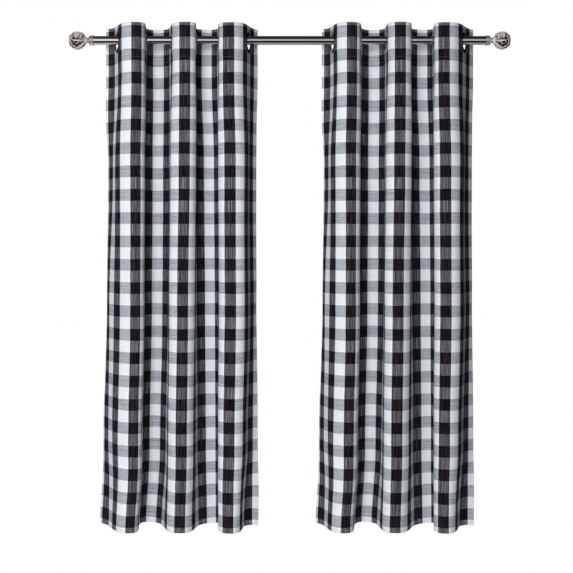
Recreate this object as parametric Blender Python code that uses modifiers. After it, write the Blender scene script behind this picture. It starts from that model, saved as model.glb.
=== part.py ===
"""A pair of check curtains on eyelets, hung in folds from one rod with hollow ball finials.

The origin is on the rod's axis, half way along it. +X runs along the rod to the right, the fronts
of the folds face -Y, and +Z is up. Each panel is modelled as the maker has it: a flat cloth with
six holes, which is then hung. Going along the cloth from its left edge, each eyelet sits in a
wall that runs to or from the room, and the cloth turns over from one wall to the next.
"""
from collections import namedtuple
from math import cos, pi, sin

import bmesh
import bpy
import numpy as np

# Rod, a steel tube with its axis on the X axis
ROD_RADIUS = 0.014
ROD_WALL = 0.001
ROD_SIDES = 32

# Finials, measured from the ball's centre towards the rod
BALL_CENTRE = 0.6775           # distance of each ball's centre from the middle of the rod
BALL_RADIUS = 0.0285
BALL_LENGTH = 0.027            # from the ball's centre to its outer end
BALL_WALL = 0.0025
COVE_START = 0.020             # where the ball stops and its neck flares in
NECK_END = 0.031
NECK_RADIUS = 0.0058
STUD_RADIUS = 0.0028
STUD_START = 0.022
CAP_SEAT = 0.041               # where the rod's end meets the floor of the cap
CAP_END = 0.053                # the cap's mouth, over the rod
CAP_RADIUS = 0.0162
CAP_BORE = 0.01445             # leaves the rod's gap at the flats of its sides too
CAP_NECK_RADIUS = 0.0076
CAP_BEVEL = 0.002
COVE_POWER = 1.7               # how quickly the neck flares in from the ball
OUTLINE_STEPS = 6              # points on a quarter of the ball's outline
NEAR_STEPS = 3                 # points from its widest place to the neck's start
FINIAL_SIDES = 20

# Cloth, as cut and hemmed, with its eyelets along the top
CLOTH_WIDTH = 1.090
CLOTH_LENGTH = 1.600
CLOTH_THICKNESS = 0.0015
CLOTH_TOP = 0.046              # height of the top edge over the rod's axis
EYELET_COUNT = 6
FIRST_EYELET = 0.070           # from the left edge of the cloth
EYELET_PITCH = 0.189
FOLD_TOPS = (0.153, 0.349, 0.529, 0.699, 0.898)    # where it turns over between the eyelets

# Eyelet rings, hung on the rod
RING_INNER = 0.022
RING_BARREL = 0.0235
RING_OUTER = 0.034
RING_HALF_WIDTH = 0.0026
RING_BEVEL = 0.002             # how far in from its edge a flange starts to thin
RING_DROP = 0.0073             # the rings' centres lie this far under the rod's axis
RING_SIDES = 20
HOLE_RADIUS = 0.0241
HOLE_SIDES = 24
DRILL_DEPTH = 0.02
MERGE_DISTANCE = 0.00005       # turned points nearer the axis than this become one

SEAT_GAP = 0.0003              # between pieces that touch
CLOTH_GAP = 0.0004             # between the cloth and each flange of its eyelet

# Where the panels hang: the fourth eyelet of each, and how far the folds lean along X for each
# metre behind the rod. The fronts of both panels lean towards the middle of the rod.
ANCHOR_EYELET = 3
PANELS = {
    "left": {"anchor": -0.300, "lean": -0.0955},
    "right": {"anchor": 0.3876, "lean": 0.0955},
}

# How the cloth turns, at six heights. Angles are in degrees from the rod: the six walls are
# counted from the left, and the first, third and fifth run to the front. The cloth is straight
# for "flat" on each side of an eyelet's line and turns over between, later with a higher power.
Section = namedtuple("Section", "height flat power left_edge walls right_edge")
SECTIONS = (
    Section(CLOTH_TOP, 0.036, 1.1, -5, (71, 89, 82, 90, 89, 70), 46),    # top edge
    Section(-0.110, 0.036, 1.1, -5, (71, 89, 82, 90, 89, 70), 46),       # foot of the heading
    Section(-0.380, 0.012, 1.3, 61, (76, 99, 93, 98, 101, 80), 51),
    Section(-0.840, 0.012, 1.5, 84, (64, 96, 91, 89, 98, 77), 57),
    Section(-1.290, 0.012, 1.65, 68, (65, 94, 87, 83, 99, 78), 28),
    Section(CLOTH_TOP - CLOTH_LENGTH, 0.012, 2.2, 33, (71, 89, 78, 73, 95, 80), -43),    # hem
)
HEADING_FLAT = SECTIONS[0].flat

# Mesh of the cloth
TURN_STEPS = 5                 # columns from an eyelet's straight stretch to the top of its fold
TURN_SPACING = 0.65            # under 1, so that columns stand closer together towards the top
EDGE_STEPS = 3                 # columns from the end eyelets' straight stretches to the edges
ROWS_PER_DROP = 3              # rows between two heights of the table, under the heading
INTEGRATION_STEP = 0.001


def remove_all_objects():
    for old in list(bpy.data.objects):
        bpy.data.objects.remove(old, do_unlink=True)


def new_collection(name):
    made = bpy.data.collections.new(name)
    bpy.context.scene.collection.children.link(made)
    return made


def new_material(name, colour, roughness, metallic):
    made = bpy.data.materials.new(name)
    made.use_nodes = True
    shader = made.node_tree.nodes["Principled BSDF"]
    shader.inputs["Base Color"].default_value = (*colour, 1.0)
    shader.inputs["Roughness"].default_value = roughness
    shader.inputs["Metallic"].default_value = metallic
    return made


def new_object(name, mesh, collection, material=None):
    made = bpy.data.objects.new(name, mesh)
    collection.objects.link(made)
    if material:
        mesh.materials.append(material)
    return made


def turned_object(name, profile, sides, collection, material):
    """A closed outline of (radius, height) points turned round the object's own Z axis.

    The outline runs down its outer side and up its inner side. Points on the axis are merged.
    """
    mesh = bpy.data.meshes.new(name)
    points = [(radius, 0.0, height) for radius, height in profile]
    edges = [(i, i + 1) for i in range(len(points) - 1)]
    if profile[0][0] > 0.0 or profile[-1][0] > 0.0:
        edges.append((len(points) - 1, 0))
    mesh.from_pydata(points, edges, [])
    turned = new_object(name, mesh, collection, material)
    screw = turned.modifiers.new("Turn", "SCREW")
    screw.axis = "Z"
    screw.steps = screw.render_steps = sides
    screw.use_merge_vertices = True
    screw.merge_threshold = MERGE_DISTANCE
    screw.use_smooth_shade = True
    return turned


# Rod and finials

def make_rod(collection, material):
    """A tube whose ends stand a seat's gap short of the floors of the two caps."""
    half_length = BALL_CENTRE - CAP_SEAT - SEAT_GAP
    bore = ROD_RADIUS - ROD_WALL
    profile = [
        (ROD_RADIUS, half_length),
        (ROD_RADIUS, -half_length),
        (bore, -half_length),
        (bore, half_length),
    ]
    rod = turned_object("rod", profile, ROD_SIDES, collection, material)
    rod.rotation_euler = (0.0, pi / 2, 0.0)


def ball_outline(radius, length, neck_radius):
    """The outline of a ball and its coved neck, from the outer end to the neck's end."""
    def round_radius(height):
        return (radius ** 2 - height ** 2) ** 0.5

    far_half = [(radius * sin(a), -length * cos(a)) for a in np.linspace(0.0, pi / 2, OUTLINE_STEPS)]
    near_heights = np.linspace(0.0, COVE_START, NEAR_STEPS + 1)[1:]
    near_half = [(round_radius(height), height) for height in near_heights]
    cove = []
    for part in np.linspace(0.0, 1.0, OUTLINE_STEPS - 1)[1:]:
        height = COVE_START + (NECK_END - COVE_START) * part
        flare = (round_radius(COVE_START) - neck_radius) * (1 - part) ** COVE_POWER
        cove.append((neck_radius + flare, height))
    return far_half + near_half + cove


def make_finial(side, direction, collection, material):
    """A hollow ball, open at its neck, on the stud of a cap that slips over the rod's end."""
    tilt = (0.0, -direction * pi / 2, 0.0)
    centre = (direction * BALL_CENTRE, 0.0, 0.0)

    outer = ball_outline(BALL_RADIUS, BALL_LENGTH, NECK_RADIUS)
    inner = ball_outline(BALL_RADIUS - BALL_WALL, BALL_LENGTH - BALL_WALL, NECK_RADIUS - BALL_WALL)
    ball = turned_object("finial_ball_" + side, outer[::-1] + inner, FINIAL_SIDES, collection, material)
    ball.location = centre
    ball.rotation_euler = tilt

    shoulder = NECK_END + SEAT_GAP
    profile = [
        (0.0, CAP_SEAT),
        (CAP_BORE, CAP_SEAT),
        (CAP_BORE, CAP_END),
        (CAP_RADIUS - CAP_BEVEL / 2, CAP_END),
        (CAP_RADIUS, CAP_END - CAP_BEVEL),
        (CAP_RADIUS, CAP_SEAT),
        (CAP_RADIUS - CAP_BEVEL, CAP_SEAT - CAP_BEVEL),
        (CAP_NECK_RADIUS, CAP_SEAT - 2 * CAP_BEVEL),
        (CAP_NECK_RADIUS, shoulder + CAP_BEVEL / 2),
        (NECK_RADIUS, shoulder),
        (STUD_RADIUS, shoulder),
        (STUD_RADIUS, STUD_START),
        (0.0, STUD_START),
    ]
    cap = turned_object("finial_cap_" + side, profile, FINIAL_SIDES, collection, material)
    cap.location = centre
    cap.rotation_euler = tilt


# Cloth

def eyelet_places():
    return [FIRST_EYELET + EYELET_PITCH * i for i in range(EYELET_COUNT)]


def wall_ends():
    """Where each eyelet's wall ends along the cloth: at its edge or at the top of a fold."""
    return [0.0, *FOLD_TOPS, CLOTH_WIDTH]


def eased(part):
    """0 to 1 with level ends."""
    part = np.clip(part, 0.0, 1.0)
    return part * part * (3 - 2 * part)


def section_at(height):
    """The table's values at one height, eased from each of its rows to the next."""
    upper, lower = next(
        pair for pair in zip(SECTIONS, SECTIONS[1:]) if height >= pair[1].height or pair[1] == SECTIONS[-1])
    part = eased((upper.height - height) / (upper.height - lower.height))

    def between(a, b):
        return a + (b - a) * part

    values = [tuple(between(c, d) for c, d in zip(a, b)) if isinstance(a, tuple) else between(a, b)
              for a, b in zip(upper[1:], lower[1:])]
    return Section(height, *values)


def heading_angle(along, section):
    """The cloth's angle from the rod, in degrees, at one place along its width."""
    ends = wall_ends()
    wall = next(i for i in range(EYELET_COUNT) if along <= ends[i + 1] or i == EYELET_COUNT - 1)
    eyelet = eyelet_places()[wall]
    span = eyelet - ends[wall] if along < eyelet else ends[wall + 1] - eyelet
    turned = max(abs(along - eyelet) - section.flat, 0.0) / (span - section.flat)
    sign = -1 if wall % 2 == 0 else 1
    if wall == 0 and along < eyelet:
        angle = section.walls[0] + (section.left_edge - section.walls[0]) * turned
    elif wall == EYELET_COUNT - 1 and along > eyelet:
        angle = section.walls[-1] + (section.right_edge - section.walls[-1]) * turned
    else:
        angle = section.walls[wall] * (1 - turned ** section.power)
    return sign * angle


def hang_section(height, anchor, lean):
    """Walks along the cloth at one height. Returns places along it and the x and y of each."""
    section = section_at(height)
    count = round(CLOTH_WIDTH / INTEGRATION_STEP)
    along = np.linspace(0.0, CLOTH_WIDTH, count + 1)
    angle = np.radians([heading_angle(place, section) for place in along])
    step_x = (np.cos(angle[1:]) + np.cos(angle[:-1])) / 2
    step_y = (np.sin(angle[1:]) + np.sin(angle[:-1])) / 2
    x = np.concatenate([[0.0], np.cumsum(step_x)]) * INTEGRATION_STEP
    y = np.concatenate([[0.0], np.cumsum(step_y)]) * INTEGRATION_STEP
    eyelets = eyelet_places()
    drift = np.interp(eyelets, along, y)           # taken out between the eyelets' flat stretches,
    y -= drift[0]                                  # so that every eyelet lies over the rod
    for place, change in zip(eyelets, np.diff(drift)):
        y -= change * eased((along - place - HEADING_FLAT) / (EYELET_PITCH - 2 * HEADING_FLAT))
    x += lean * y
    x += anchor - np.interp(eyelets[ANCHOR_EYELET], along, x)
    return along, x, y


def cloth_columns():
    """Places along the cloth, closest together where it turns over."""
    ends = wall_ends()
    columns = set()
    for wall, eyelet in enumerate(eyelet_places()):
        for direction, end in ((-1, ends[wall]), (1, ends[wall + 1])):
            span = abs(end - eyelet) - HEADING_FLAT
            at_edge = end in (0.0, CLOTH_WIDTH)
            steps = EDGE_STEPS if at_edge else TURN_STEPS
            power = 1.0 if at_edge else TURN_SPACING
            for k in range(steps + 1):
                columns.add(round(eyelet + direction * (HEADING_FLAT + span * (k / steps) ** power), 6))
    return sorted(columns)


def cloth_rows():
    """Heights of the rows: the heading in one, then evenly down to the hem."""
    rows = [SECTIONS[0].height]
    for upper, lower in zip(SECTIONS[1:], SECTIONS[2:]):
        rows += list(np.linspace(upper.height, lower.height, ROWS_PER_DROP + 1)[:-1])
    return rows + [SECTIONS[-1].height]


def make_cloth(side, collection, cutters, material):
    """A flat grid, hung point by point, thickened, with its eyelet holes cut."""
    columns, rows = cloth_columns(), cloth_rows()
    panel = PANELS[side]
    mesh = bpy.data.meshes.new("panel_" + side)
    grid = bmesh.new()
    bmesh.ops.create_grid(grid, x_segments=len(columns) - 1, y_segments=len(rows) - 1, size=1.0)
    hung = [hang_section(height, panel["anchor"], panel["lean"]) for height in rows]
    for vert in grid.verts:
        column = round((vert.co.x + 1) / 2 * (len(columns) - 1))
        row = round((1 - vert.co.y) / 2 * (len(rows) - 1))
        along, x, y = hung[row]
        place = columns[column]
        vert.co = (np.interp(place, along, x), np.interp(place, along, y), rows[row])
    grid.to_mesh(mesh)
    grid.free()
    cloth = new_object("panel_" + side, mesh, collection, material)
    mesh.shade_smooth()

    solidify = cloth.modifiers.new("Cloth thickness", "SOLIDIFY")
    solidify.thickness = CLOTH_THICKNESS
    solidify.offset = 0.0
    solidify.use_even_offset = True
    holes = cloth.modifiers.new("Eyelet holes", "BOOLEAN")
    holes.operation = "DIFFERENCE"
    holes.solver = "EXACT"
    holes.object = make_hole_cutter(side, cutters)


def eyelet_frame(side, index):
    """The centre of an eyelet, and its wall's angle about Z, from the hung section there."""
    panel = PANELS[side]
    along, x, y = hang_section(-RING_DROP, panel["anchor"], panel["lean"])
    place = eyelet_places()[index]
    reach = HEADING_FLAT / 2
    run_x = np.interp(place + reach, along, x) - np.interp(place - reach, along, x)
    run_y = np.interp(place + reach, along, y) - np.interp(place - reach, along, y)
    centre = (float(np.interp(place, along, x)), 0.0, -RING_DROP)
    return centre, float(np.arctan2(run_y, run_x)) - pi / 2


def make_hole_cutter(side, cutters):
    """Six short cylinders, one through the wall at each eyelet, in one mesh."""
    mesh = bpy.data.meshes.new("hole_cutter_" + side)
    drills = bmesh.new()
    for index in range(EYELET_COUNT):
        centre, turn = eyelet_frame(side, index)
        made = bmesh.ops.create_cone(drills, cap_ends=True, segments=HOLE_SIDES, radius1=HOLE_RADIUS,
                                     radius2=HOLE_RADIUS, depth=DRILL_DEPTH)
        for vert in made["verts"]:
            across, up, out = vert.co.y, -vert.co.x, vert.co.z     # the drill's axis laid level
            vert.co = (centre[0] + out * cos(turn) - across * sin(turn),
                       centre[1] + out * sin(turn) + across * cos(turn),
                       centre[2] + up)
    drills.to_mesh(mesh)
    drills.free()
    cutter = new_object(mesh.name, mesh, cutters)
    cutter.hide_render = True
    cutter.display_type = "WIRE"
    return cutter


def make_eyelet(side, index, collection, material):
    """A ring of C-shaped section that grips the edge of its hole between two flanges."""
    groove = CLOTH_THICKNESS / 2 + CLOTH_GAP
    profile = [
        (RING_INNER, RING_HALF_WIDTH),
        (RING_OUTER - RING_BEVEL, RING_HALF_WIDTH),
        (RING_OUTER, groove),
        (RING_BARREL, groove),
        (RING_BARREL, -groove),
        (RING_OUTER, -groove),
        (RING_OUTER - RING_BEVEL, -RING_HALF_WIDTH),
        (RING_INNER, -RING_HALF_WIDTH),
    ]
    ring = turned_object(f"eyelet_{side}_{index + 1}", profile, RING_SIDES, collection, material)
    centre, turn = eyelet_frame(side, index)
    ring.location = centre
    ring.rotation_euler = (0.0, pi / 2, turn)


def build():
    remove_all_objects()
    parts = new_collection("eyelet_curtains_on_rod")
    cutters = new_collection("cutters")
    polished = new_material("polished_nickel", (0.60, 0.59, 0.58), 0.12, 1.0)
    cast = new_material("cast_silver", (0.62, 0.60, 0.57), 0.28, 1.0)
    check = new_material("check_cloth", (0.36, 0.36, 0.38), 0.85, 0.0)

    make_rod(parts, polished)
    for side, direction in (("left", -1), ("right", 1)):
        make_finial(side, direction, parts, cast)
        make_cloth(side, parts, cutters, check)
        for index in range(EYELET_COUNT):
            make_eyelet(side, index, parts, polished)


build()
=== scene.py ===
import math

import bmesh
import bpy
import numpy as np
from mathutils import Matrix, Vector, noise


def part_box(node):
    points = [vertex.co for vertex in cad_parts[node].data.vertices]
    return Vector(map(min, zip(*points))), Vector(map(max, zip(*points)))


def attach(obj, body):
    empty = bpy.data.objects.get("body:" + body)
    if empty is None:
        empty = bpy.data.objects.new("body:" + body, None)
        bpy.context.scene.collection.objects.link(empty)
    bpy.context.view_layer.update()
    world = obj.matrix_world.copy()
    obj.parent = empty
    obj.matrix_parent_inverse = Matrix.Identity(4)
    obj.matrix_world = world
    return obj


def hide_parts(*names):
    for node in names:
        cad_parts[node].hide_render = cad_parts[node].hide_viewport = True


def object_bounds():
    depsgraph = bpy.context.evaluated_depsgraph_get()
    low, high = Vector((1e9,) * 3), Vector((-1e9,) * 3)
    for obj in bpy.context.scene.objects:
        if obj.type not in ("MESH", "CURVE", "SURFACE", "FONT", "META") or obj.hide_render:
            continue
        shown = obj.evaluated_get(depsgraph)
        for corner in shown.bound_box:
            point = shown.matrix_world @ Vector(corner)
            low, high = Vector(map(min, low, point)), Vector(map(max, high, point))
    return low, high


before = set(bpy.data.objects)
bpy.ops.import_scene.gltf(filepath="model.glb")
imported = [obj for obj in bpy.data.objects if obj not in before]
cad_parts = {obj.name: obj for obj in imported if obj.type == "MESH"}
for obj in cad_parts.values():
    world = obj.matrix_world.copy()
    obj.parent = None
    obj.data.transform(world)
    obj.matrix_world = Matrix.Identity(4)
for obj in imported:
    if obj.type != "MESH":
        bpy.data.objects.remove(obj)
cadBox = [list(corner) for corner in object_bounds()]
print("Frame loaded:", len(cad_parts), "nodes")


# Small helpers

mergeDistance = 0.00002      # points nearer each other than this become one
sharpAngle = 40              # degrees between two faces, over which the edge between them stays sharp


def linearColour(hexCode):
    # sRGB hex to the linear values that Blender's sockets hold
    parts = [int(hexCode[i:i + 2], 16) / 255 for i in (1, 3, 5)]
    return [p / 12.92 if p <= 0.04045 else ((p + 0.055) / 1.055) ** 2.4 for p in parts] + [1.0]


def setInputs(tree, node, inputs):
    # inputs go from a socket's number, or its name among those in use, to a value, a hex colour, a
    # socket, or a node for its first output in use
    for name, value in inputs.items():
        socket = node.inputs[name] if isinstance(name, int) else next(
            found for found in node.inputs if found.enabled and found.name == name)
        if isinstance(value, bpy.types.Node):
            value = next(found for found in value.outputs if found.enabled)
        if isinstance(value, bpy.types.NodeSocket):
            tree.links.new(value, socket)
        else:
            isColour = isinstance(value, str) and value.startswith("#")
            socket.default_value = linearColour(value) if isColour else value


def addNode(tree, kind, inputs=None, **settings):
    node = tree.nodes.new(kind)
    for name, value in settings.items():
        setattr(node, name, value)
    setInputs(tree, node, inputs or {})
    return node


def newMaterial(name):
    material = bpy.data.materials.new(name)
    material.use_nodes = True
    return material, material.node_tree, material.node_tree.nodes["Principled BSDF"]


def newPiece(name, mesh):
    piece = bpy.data.objects.new(name, mesh)
    bpy.context.scene.collection.objects.link(piece)
    return piece


def asPlainMesh(source, name):
    # the evaluated shape as a plain mesh, its place in its vertices and its object at the origin
    bpy.context.view_layer.update()
    graph = bpy.context.evaluated_depsgraph_get()
    mesh = bpy.data.meshes.new_from_object(source.evaluated_get(graph), depsgraph=graph)
    mesh.transform(source.matrix_world)
    mesh.name = name
    bpy.data.objects.remove(source)
    return newPiece(name, mesh)


def fixNormals(mesh):
    shape = bmesh.new()
    shape.from_mesh(mesh)
    bmesh.ops.recalc_face_normals(shape, faces=shape.faces)
    shape.to_mesh(mesh)
    shape.free()


def dropLoosePoints(mesh):
    shape = bmesh.new()
    shape.from_mesh(mesh)
    loose = [point for point in shape.verts if not point.link_faces]
    bmesh.ops.delete(shape, geom=loose, context="VERTS")
    shape.to_mesh(mesh)
    shape.free()


def turnedPiece(name, profile, sides, axis, origin, material):
    # an outline of (radius, distance along the axis), down its outer side, turned round the axis
    mesh = bpy.data.meshes.new(name)
    points = [(radius, 0.0, along) for radius, along in profile]
    edges = [(i, i + 1) for i in range(len(points) - 1)]
    if profile[0][0] > 0 or profile[-1][0] > 0:      # it doesn't end on the axis, so it is closed
        edges.append((len(points) - 1, 0))
    mesh.from_pydata(points, edges, [])
    mesh.materials.append(material)
    source = newPiece(name + "_turning", mesh)
    source.location = origin
    source.rotation_mode = "QUATERNION"
    source.rotation_quaternion = Vector(axis).to_track_quat("Z", "Y")
    screw = source.modifiers.new("Turn", "SCREW")
    screw.steps = screw.render_steps = sides
    screw.use_merge_vertices = True
    screw.merge_threshold = mergeDistance
    piece = asPlainMesh(source, name)
    fixNormals(piece.data)
    piece.data.shade_smooth()
    piece.data.set_sharp_from_angle(angle=math.radians(sharpAngle))
    return piece


def newShapeTree(name, inputs):
    # inputs go from a socket's name to what it takes
    tree = bpy.data.node_groups.new(name, "GeometryNodeTree")
    tree.interface.new_socket("Geometry", in_out="INPUT", socket_type="NodeSocketGeometry")
    for label, kind in inputs.items():
        tree.interface.new_socket(label, in_out="INPUT", socket_type="NodeSocket" + kind)
    tree.interface.new_socket("Geometry", in_out="OUTPUT", socket_type="NodeSocketGeometry")
    return tree, addNode(tree, "NodeGroupInput").outputs


def endShapeTree(tree, shape, material):
    real = addNode(tree, "GeometryNodeRealizeInstances", {0: shape})
    smooth = addNode(tree, "GeometryNodeSetShadeSmooth", {0: real})
    done = addNode(tree, "GeometryNodeSetMaterial", {0: smooth, "Material": material})
    addNode(tree, "NodeGroupOutput", {0: done})


def shapedByTree(source, tree, values, name):
    modifier = source.modifiers.new(tree.name, "NODES")
    modifier.node_group = tree
    for socket in tree.interface.items_tree:
        if socket.in_out == "INPUT" and socket.name in values:
            modifier[socket.identifier] = values[socket.name]
    return asPlainMesh(source, name)


# Camera and light

view = {
    "sensor": 36.0, "lens": 70.5,    # mm
    "distance": 3.58,                # before the rod's axis
    "height": -0.624,                # from the rod: a little over the middle of the cloth
    "aside": -0.0104,
    "shift": -0.088,                 # the middle of the frame lies lower than the camera
}
studio = {
    # three soft panels that only cloth and paper see: how far right of the rod's middle and behind it
    "panels": {
        "front": {"place": (-0.74, -4.15), "width": 1.4, "power": 156},
        "side": {"place": (-3.4, -2.4), "width": 1.4, "power": 44},
        "back": {"place": (0.0, 4.2), "width": 1.6, "power": 120},
    },
    "panelLow": -1.75, "panelHigh": 1.70,           # their lower and upper edges, from the rod
    # the room that metal mirrors, by height: 0 is straight down, 0.5 level and 1 straight up
    "before": (
        (0.02, "#a8a39e"),                          # floor
        (0.035, "#101216"), (0.32, "#101216"),      # dark skirting
        (0.36, "#d3dbe4"), (0.70, "#d3dbe4"),       # light wall
        (0.76, "#3a2c2b"),                          # dark ceiling
    ),
    "behind": ((0.25, "#bcb7b1"), (0.33, "#3a2c2b")),       # a pale floor under a dark wall
    "onCloth": 0.06,                                # strength of the room's light on the cloth
    "onMetalLeft": 1.60, "onMetalRight": 0.76,      # and on metal, from the left and from the right
    "leftUntil": -0.17, "rightFrom": -0.03,         # along X
    "sideFrom": 0.3, "sideUntil": 0.5, "farAside": 0.12,    # how much is left of it at the far sides
    "backdrop": "#ffffff",                          # what the camera sees behind
}
paper = {
    "drop": 0.24,                    # under the hem
    "front": -0.60, "back": 0.30, "halfWidth": 1.5,
    "dark": "#e9e8e6", "pale": "#f2f2f1", "clouds": 90.0,      # 11 mm clouds, so many to the metre
}


def makeCamera():
    data = bpy.data.cameras.new("camera")
    data.sensor_width = view["sensor"]
    data.lens = view["lens"]
    data.shift_y = view["shift"]
    camera = newPiece("camera", data)
    camera.location = (view["aside"], -view["distance"], view["height"])
    camera.rotation_euler = (math.radians(90), 0, 0)
    bpy.context.scene.camera = camera


def makePanelLight(name, panel):
    across, away = panel["place"]
    low, high = studio["panelLow"], studio["panelHigh"]
    data = bpy.data.lights.new(name, "AREA")
    data.shape = "RECTANGLE"
    data.size = panel["width"]
    data.size_y = high - low
    data.energy = panel["power"]
    lamp = newPiece(name + "_panel", data)
    lamp.location = (across, away, (high + low) / 2)
    lamp.rotation_euler = (math.radians(90), 0, math.atan2(across, -away))
    lamp.visible_camera = False
    lamp.visible_glossy = False


def makeRoom():
    world = bpy.data.worlds.new("studio")
    bpy.context.scene.world = world
    world.use_nodes = True
    tree = world.node_tree
    tree.nodes.clear()
    direction = addNode(tree, "ShaderNodeTexCoord").outputs["Generated"]
    apart = addNode(tree, "ShaderNodeSeparateXYZ", {0: direction})
    height = addNode(tree, "ShaderNodeMapRange", {
        "Value": apart.outputs["Z"], "From Min": -1.0, "From Max": 1.0})
    ramps = []
    for stops in (studio["before"], studio["behind"]):
        ramp = addNode(tree, "ShaderNodeValToRGB", {0: height})
        while len(ramp.color_ramp.elements) < len(stops):
            ramp.color_ramp.elements.new(0.5)
        for element, (place, colour) in zip(ramp.color_ramp.elements, stops):
            element.position = place
            element.color = linearColour(colour)
        ramps.append(ramp)
    isBehind = addNode(tree, "ShaderNodeMath", {0: apart.outputs["Y"], 1: 0.0}, operation="GREATER_THAN")
    walls = addNode(tree, "ShaderNodeMix", {"Factor": isBehind, "A": ramps[0], "B": ramps[1]},
                    data_type="RGBA")

    ray = addNode(tree, "ShaderNodeLightPath")
    leftToRight = addNode(tree, "ShaderNodeMapRange", {
        "Value": apart.outputs["X"], "From Min": studio["leftUntil"], "From Max": studio["rightFrom"],
        "To Min": studio["onMetalLeft"], "To Max": studio["onMetalRight"]})
    aside = addNode(tree, "ShaderNodeMath", {0: apart.outputs["X"]}, operation="ABSOLUTE")
    towardsSide = addNode(tree, "ShaderNodeMapRange", {
        "Value": aside, "From Min": studio["sideFrom"], "From Max": studio["sideUntil"],
        "To Min": 1.0, "To Max": studio["farAside"]})
    onMetal = addNode(tree, "ShaderNodeMath", {0: leftToRight, 1: towardsSide}, operation="MULTIPLY")
    strength = addNode(tree, "ShaderNodeMapRange", {
        "Value": ray.outputs["Is Diffuse Ray"], "To Min": onMetal, "To Max": studio["onCloth"]})
    room = addNode(tree, "ShaderNodeBackground", {"Color": walls, "Strength": strength})
    backdrop = addNode(tree, "ShaderNodeBackground", {"Color": studio["backdrop"], "Strength": 1.0})
    seen = addNode(tree, "ShaderNodeMixShader", {0: ray.outputs["Is Camera Ray"], 1: room, 2: backdrop})
    addNode(tree, "ShaderNodeOutputWorld", {"Surface": seen})


def makePaperFloor():
    # Matt uncoated paper, a little cloudy: a low floor under and in front of the hem.
    material, tree, shader = newMaterial("matt_white_paper")
    place = addNode(tree, "ShaderNodeTexCoord").outputs["Object"]
    clouds = addNode(tree, "ShaderNodeTexNoise", {"Vector": place, "Scale": paper["clouds"]})
    tint = addNode(tree, "ShaderNodeMix", {"Factor": clouds, "A": paper["dark"], "B": paper["pale"]},
                   data_type="RGBA")
    setInputs(tree, shader, {"Base Color": tint, "Roughness": 0.9})

    front, back, wide = paper["front"], paper["back"], paper["halfWidth"]
    level = cadBox[0][2] - paper["drop"]
    corners = [(-wide, front, level), (wide, front, level), (wide, back, level), (-wide, back, level)]
    mesh = bpy.data.meshes.new("floor")
    mesh.from_pydata(corners, [], [(0, 1, 2, 3)])
    mesh.materials.append(material)
    newPiece("floor", mesh)


makeCamera()
for name, panel in studio["panels"].items():
    makePanelLight(name, panel)
makeRoom()
makePaperFloor()
bpy.context.scene.view_settings.view_transform = "Standard"
print("Camera and studio made")


# Cloth: yarn-dyed cotton in a plain weave

check = {
    # sizes in mm
    "square": 36.6,                           # and as much again to the next dark one
    "firstColumn": 8.0, "firstRow": 9.6,      # white before the first dark column and row
    "threadPitch": 0.9,                       # real threads are half of this and would not show
    "fineStreak": 1.4, "fineLength": 140.0,   # thick and thin yarns, one by one
    "broadStreak": 3.6, "broadLength": 224.0,       # and a few together
    "bend": 28.0, "stray": 1.4,               # how often yarns bend, and how far from side to side at most
    "cloudAcross": 70.0, "cloudDown": 90.0, "cloudShade": 0.05,
    # how high a weft must rise to show over each warp, how gradually it does, up and down from there,
    # and how much uneven yarns change that
    "weftOverWhite": 0.09, "weftOverBlack": 0.775, "crossing": 0.9,
    "swingOnWhite": 0.6, "swingOnBlack": 1.4,
    "whiteYarn": "#eff2f7", "amongBlack": "#e0e6f2",     # white yarns, and where black ones cross them
    "blackYarn": "#121015", "fadedYarn": "#45393c", "fadesFrom": 0.5, "fadedAt": 0.85,
    # painted shade and light, by the two yarns' thickness
    "thin": 0.6, "thick": 1.4, "thinShade": 0.89, "thickShade": 1.05,    # by the two yarns' thickness
    "weaveRelief": 0.35, "bump": 0.35, "reliefMetres": 0.00025,
}


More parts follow.
